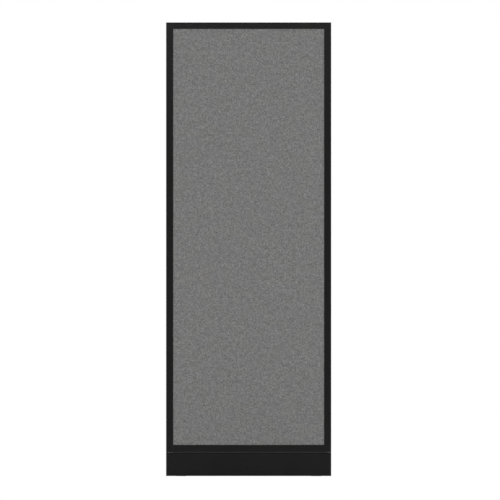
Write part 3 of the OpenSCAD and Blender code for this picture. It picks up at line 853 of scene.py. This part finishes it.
class PARTITION_OT_screws(bpy.types.Operator):
    """Makes the cross-recessed screws of the base ends, the bottom rail and the trim clips."""

    bl_idname = "partition.screws"
    bl_label = "Screws"

    def execute(self, context):
        fittings = context.scene.partition_wall.fittings

        def drive(node, head, thick, shank, length, places):
            screw = cross_screw(head, thick, shank, length, fittings.screw_pitch, fittings.recess)
            make(node.replace("_screws", "_cross_screws"), copies(screw, places),
                 finish("zinc", zinc_plate), "panel", node, SCREW_SHARP)

        low, high = box("base_end_screws")
        head, shank = 3.5 * MM, 2 * MM
        drive("base_end_screws", head, 2.2 * MM, shank, 16 * MM,
              from_both_sides(high[0], (low[2] + head, high[2] - head)))

        low, high = box("edge_clip_screws")
        head, thick, length = 4 * MM, 2.4 * MM, 13 * MM
        drive("edge_clip_screws", head, thick, shank, length,
              from_both_sides(high[0], np.linspace(low[2] + head, high[2] - head, 4)))

        low, high = box("cap_clip_screws")
        drive("cap_clip_screws", head, thick, shank, length,
              [((0, 0, -1), (x, 0, high[2]))
               for x in np.linspace(low[0] + head, high[0] - head, 3)])

        low, high = box("bottom_rail_screws")
        head, shank = 4.5 * MM, 2.5 * MM
        drive("bottom_rail_screws", head, 2.5 * MM, shank, high[2] - low[2],
              [((0, 0, 1), (x, 0, low[2])) for x in np.linspace(low[0] + head, high[0] - head, 3)])
        return {"FINISHED"}


class PARTITION_OT_nuts(bpy.types.Operator):
    """Makes the threaded link nuts in the stiles and the weld nuts of the glides."""

    bl_idname = "partition.nuts"
    bl_label = "Nuts"

    def execute(self, context):
        fittings = context.scene.partition_wall.fittings
        material = finish("zinc", zinc_plate)

        low, high = box("link_nuts")
        flange, bore, body = 7.5 * MM, 3.35 * MM, 5.38 * MM
        brim, length, edge = 1.2 * MM, 17.2 * MM, 0.4 * MM
        profile = np.concatenate([
            [(bore + 0.8 * MM, 0), (flange - edge, 0), (flange, edge), (flange, brim)],
            filled([(body, brim), (body, length - edge)], 1.2 * MM),
            [(body - edge, length), (bore + 0.6 * MM, length)],
            filled([(bore, length - 0.6 * MM), (bore, 0.8 * MM), (bore + 0.8 * MM, 0)],
                   fittings.link_pitch / 7)])

        def link_radius(r, z, a):
            cut = 0.55 * MM * thread(z, a, fittings.link_pitch)
            knurl = 0.12 * MM * (0.5 - 0.5 * np.cos(36 * a)) * (np.abs(r - body) < 1e-6)
            return np.where(r <= bore + 1e-6, r + cut, r - knurl)

        places = from_both_sides(high[0], (low[2] + flange, high[2] - flange))
        make("threaded_link_nuts", copies(turned(profile, 72, link_radius), places), material,
             "panel", "link_nuts")

        low, high = box("glide_nuts")
        corner, edge, flare, pitch = 10 * MM, 1.1 * MM, 0.9 * MM, fittings.stem_pitch
        bore = STEM_CREST - STEM_DEPTH + NUT_GAP
        profile = np.concatenate([
            filled([(bore + flare, low[2]), (corner - edge, low[2]),
                    (corner, low[2] + 0.5 * edge)], 2 * MM),
            filled([(corner, high[2] - 0.5 * edge), (corner - edge, high[2]),
                    (bore + flare, high[2])], 2 * MM),
            filled([(bore, high[2] - flare), (bore, low[2] + flare),
                    (bore + flare, low[2])], pitch / 8)])

        def nut_radius(r, z, a):
            cut = STEM_DEPTH * thread(z, a, pitch)
            inner = np.maximum(r, bore + cut)
            return np.where(r < bore + flare + 0.05 * MM, inner, np.minimum(r, hexagon(a, corner)))

        middle = high[0] - corner
        places = [((0, 0, 1), (x, 0, 0)) for x in (-middle, middle)]
        make("weld_nuts", copies(turned(profile, 72, nut_radius), places), material, "panel",
             "glide_nuts")
        return {"FINISHED"}


class PARTITION_OT_glides(bpy.types.Operator):
    """Makes the glides: a threaded stem with a hexagon collar, a ribbed foot and a grooved sole."""

    bl_idname = "partition.glides"
    bl_label = "Glides"

    def execute(self, context):
        pitch = context.scene.partition_wall.fittings.stem_pitch
        low, high = box("glide_stem_right")
        foot_low, foot_high = box("glide_foot_right")
        sole_low, sole_high = box("glide_sole_right")
        middle = (foot_low[0] + foot_high[0]) / 2

        spigot, collar, bend, tip = 4 * MM, high[0] - middle, 0.7 * MM, 1.1 * MM
        collar_low, collar_high = foot_high[2] + 0.1 * MM, 17.7 * MM
        profile = np.concatenate([
            [(0, low[2]), (spigot - 0.5 * MM, low[2]), (spigot, low[2] + 0.5 * MM),
             (spigot, collar_low), (collar - bend, collar_low), (collar, collar_low + 0.5 * bend),
             (collar, collar_high - 0.5 * bend), (collar - bend, collar_high)],
            filled([(STEM_CREST, collar_high), (STEM_CREST, high[2] - tip),
                    (STEM_CREST - tip, high[2])], pitch / 8),
            [(0, high[2])]])

        def stem_radius(r, z, a):
            fade = ramp(z, collar_high + 0.2 * MM, collar_high + pitch)
            root = STEM_CREST - STEM_DEPTH * (1 - thread(z, a, pitch)) * fade
            cut = np.where(z >= collar_high, np.minimum(r, root), r)
            return np.where(r > STEM_CREST + 0.1 * MM, np.minimum(r, hexagon(a, collar)), cut)

        stem = turned(profile, 48, stem_radius)

        outer, rim = (foot_high[0] - foot_low[0]) / 2, 3 * MM
        socket, floor = spigot + 0.05 * MM, low[2] - 0.1 * MM
        neck = 10 * MM
        base, top = foot_low[2], foot_high[2]
        profile = filled([
            (0, base), (outer - 0.8 * MM, base), (outer, base + bend),
            (outer, base + rim - 0.5 * MM), (outer - bend, base + rim),
            (neck + 1.6 * MM, top - bend), (neck - 0.4 * MM, top),
            (socket + 0.5 * MM, top), (socket, top - 0.5 * MM), (socket, floor), (0, floor)],
            1.4 * MM)

        def foot_radius(r, z, a):
            flute = 0.55 * MM * np.clip(np.cos(30 * a), 0, 1)
            return r - flute * ramp(r, outer - 1.6 * MM, outer)

        foot = turned(profile, 180, foot_radius)

        wide, thick = (sole_high[0] - sole_low[0]) / 2, sole_high[2]
        profile = np.concatenate([filled([(0, 0), (wide - 0.5 * MM, 0)], 0.3 * MM),
                                  [(wide, 0.5 * MM), (wide, thick - 0.2 * MM),
                                   (wide - 0.2 * MM, thick), (0, thick)]])

        def sole_height(r, z, a):
            groove = ramp(np.cos(TURN * r / (3 * MM)), 0.1, 0.8) * (r < wide - 2 * MM)
            return np.where(z <= 0, 0.6 * MM * groove, z)

        sole = turned(profile, 96, height=sole_height)
        for side, x in (("left", -middle), ("right", middle)):
            place = [((0, 0, 1), (x, 0, 0))]
            make(f"threaded_stem_{side}", copies(stem, place), finish("zinc", zinc_plate),
                 f"stem_{side}", f"glide_stem_{side}")
            make(f"ribbed_foot_{side}", copies(foot, place), plastic(context, "glide_foot", []),
                 f"foot_{side}", f"glide_foot_{side}")
            make(f"grooved_sole_{side}", copies(sole, place), finish("rubber", sole_rubber),
                 f"foot_{side}", f"glide_sole_{side}")
        return {"FINISHED"}


# ---- Inside ----


class PARTITION_OT_frame_and_core(bpy.types.Operator):
    """Finishes what the tiles and trims hide: the steel frame, the core, the boards and clips."""

    bl_idname = "partition.frame_and_core"
    bl_label = "Frame and core"

    def execute(self, context):
        dress(finish("steel", mill_steel), "stile_left", "stile_right", "top_tube", "middle_tube",
              "low_tube", "base_pan")
        dress(finish("kraft", kraft_paper), "core_upper", "core_lower")
        dress(finish("board", fibre_board), "tile_board_front", "tile_board_back")
        dress(finish("zinc", zinc_plate), "tile_clips_front", "tile_clips_back")
        dress(plastic(context, "clips", []), "edge_clips_left", "edge_clips_right", "cap_clips")
        return {"FINISHED"}


# ---- Stage ----


def hung(name, kind, power, place, aim):
    """A light at a place, turned towards a point. The camera doesn't see it."""
    data = bpy.data.lights.new(name, kind)
    data.energy = power
    light = linked(name, data)
    light.location = place
    light.rotation_euler = Vector(np.subtract(aim, place)).to_track_quat("-Z", "Y").to_euler()
    light.visible_camera = False
    return light


def glossy_panel(name, place, aim, size, power):
    """A flat light that shows only in gloss; size is (across, up)."""
    light = hung(name, "AREA", power, place, aim)
    light.data.shape = "RECTANGLE"
    light.data.size, light.data.size_y = size
    light.visible_diffuse = False


def wide_sun(name, place, aim, strength):
    """A sun as wide as a cloudy patch of sky, which shows in no gloss."""
    light = hung(name, "SUN", strength, place, aim)
    light.data.angle = SUN_WIDTH
    light.visible_glossy = False


class PARTITION_OT_stage(bpy.types.Operator):
    """Lays the floor, hangs the lights and stands the camera square in front of the wall."""

    bl_idname = "partition.stage"
    bl_label = "Stage"

    def execute(self, context):
        scene, stage = context.scene, context.scene.partition_wall.stage
        low, high = [np.array(corner) for corner in cad_bounds]
        middle = (low + high) / 2

        f = Finish("pale floor", 1.0, specular=0.0)
        cloudy = f.noise(0.35, detail=3.0)
        f.set("Base Color", f.scaled(tuple(stage.floor), f.between(cloudy, 0.3, 0.7, 0.985, 1.0)))
        f.bump(f.noise(2.5 * MM, detail=2.0), 0.05 * MM, 0.3)
        corners = [(x * FLOOR_REACH, y * FLOOR_REACH, 0)
                   for x, y in ((-1, -1), (1, -1), (1, 1), (-1, 1))]
        mesh = bpy.data.meshes.new("floor")
        mesh.from_pydata(corners, [], [(0, 1, 2, 3)])
        mesh.materials.append(f.material)
        floor = linked("floor", mesh)

        world = bpy.data.worlds.new("even light")
        world.use_nodes = True
        light = Nodes(world.node_tree)
        background = world.node_tree.nodes["Background"]
        light.join(background.inputs["Color"], (1.0, 1.0, 1.0, 1.0))
        strength = stage.ambient
        for ray, seen in (("Is Camera Ray", 1.0), ("Is Glossy Ray", stage.mirrored)):
            strength = light.line(light.node("LightPath", output=ray), seen - stage.ambient,
                                  strength)
        light.join(background.inputs["Strength"], strength)
        scene.world = world

        for face, back in (("front", -1), ("back", 1)):
            for hand, right in (("left", -1), ("right", 1)):
                x, y = right * CORNER[0], back * CORNER[1]
                wide_sun(f"soft sun {face} {hand}", (x, y, middle[2] + SUN_LIFT), middle,
                         stage.key)
                glossy_panel(f"panel {face} {hand}", (x, y, PANEL_HEIGHT), middle, PANEL_SIZE,
                             stage.panels)
        for name, up, power in (("upper", high[2] - STRIP_DROP, stage.top),
                                ("lower", STRIP_RISE, stage.foot)):
            for face, back in (("front", -1), ("back", 1)):
                glossy_panel(f"{name} strip {face}", (0, back * STRIP_AWAY, up), (0, 0, up),
                             STRIP_SIZE, power)

        data = bpy.data.cameras.new("square view")
        data.type, data.ortho_scale = "ORTHO", stage.view
        data.clip_start, data.clip_end = CAMERA_RANGE
        camera = linked("square view", data)
        camera.location = (middle[0] + stage.aside, low[1] - CAMERA_AWAY, middle[2] - stage.below)
        camera.rotation_euler = (TURN / 4, 0, 0)
        scene.camera = camera
        scene.view_settings.view_transform = "Standard"
        return {"FINISHED"}


# ---- The add-on ----

STEPS = (
    PARTITION_OT_tile_cloth,
    PARTITION_OT_trims,
    PARTITION_OT_base_covers,
    PARTITION_OT_end_caps,
    PARTITION_OT_screws,
    PARTITION_OT_nuts,
    PARTITION_OT_glides,
    PARTITION_OT_frame_and_core,
    PARTITION_OT_stage,
)


class PARTITION_PT_panel(bpy.types.Panel):
    """The settings, and the steps in their order."""

    bl_idname = "PARTITION_PT_panel"
    bl_label = "Partition wall"
    bl_space_type = "VIEW_3D"
    bl_region_type = "UI"
    bl_category = "Partition"

    def draw(self, context):
        wall = context.scene.partition_wall
        for group in (wall.cloth, wall.coat, wall.fittings, wall.stage):
            column = self.layout.column()
            for name in group.__annotations__:
                column.prop(group, name)
        for step in STEPS:
            self.layout.operator(step.bl_idname)


CLASSES = (ClothSettings, CoatSettings, FittingSettings, StageSettings, WallSettings,
           *STEPS, PARTITION_PT_panel)


def register():
    for kind in CLASSES:
        bpy.utils.register_class(kind)
    bpy.types.Scene.partition_wall = bpy.props.PointerProperty(type=WallSettings)


def unregister():
    del bpy.types.Scene.partition_wall
    for kind in reversed(CLASSES):
        bpy.utils.unregister_class(kind)


def main():
    """Runs every step in order."""
    register()
    for step in STEPS:
        module, name = step.bl_idname.split(".")
        done = getattr(getattr(bpy.ops, module), name)()
        if done != {"FINISHED"}:
            raise RuntimeError(f"{step.bl_label} didn't finish")


if __name__ == "__main__":
    main()
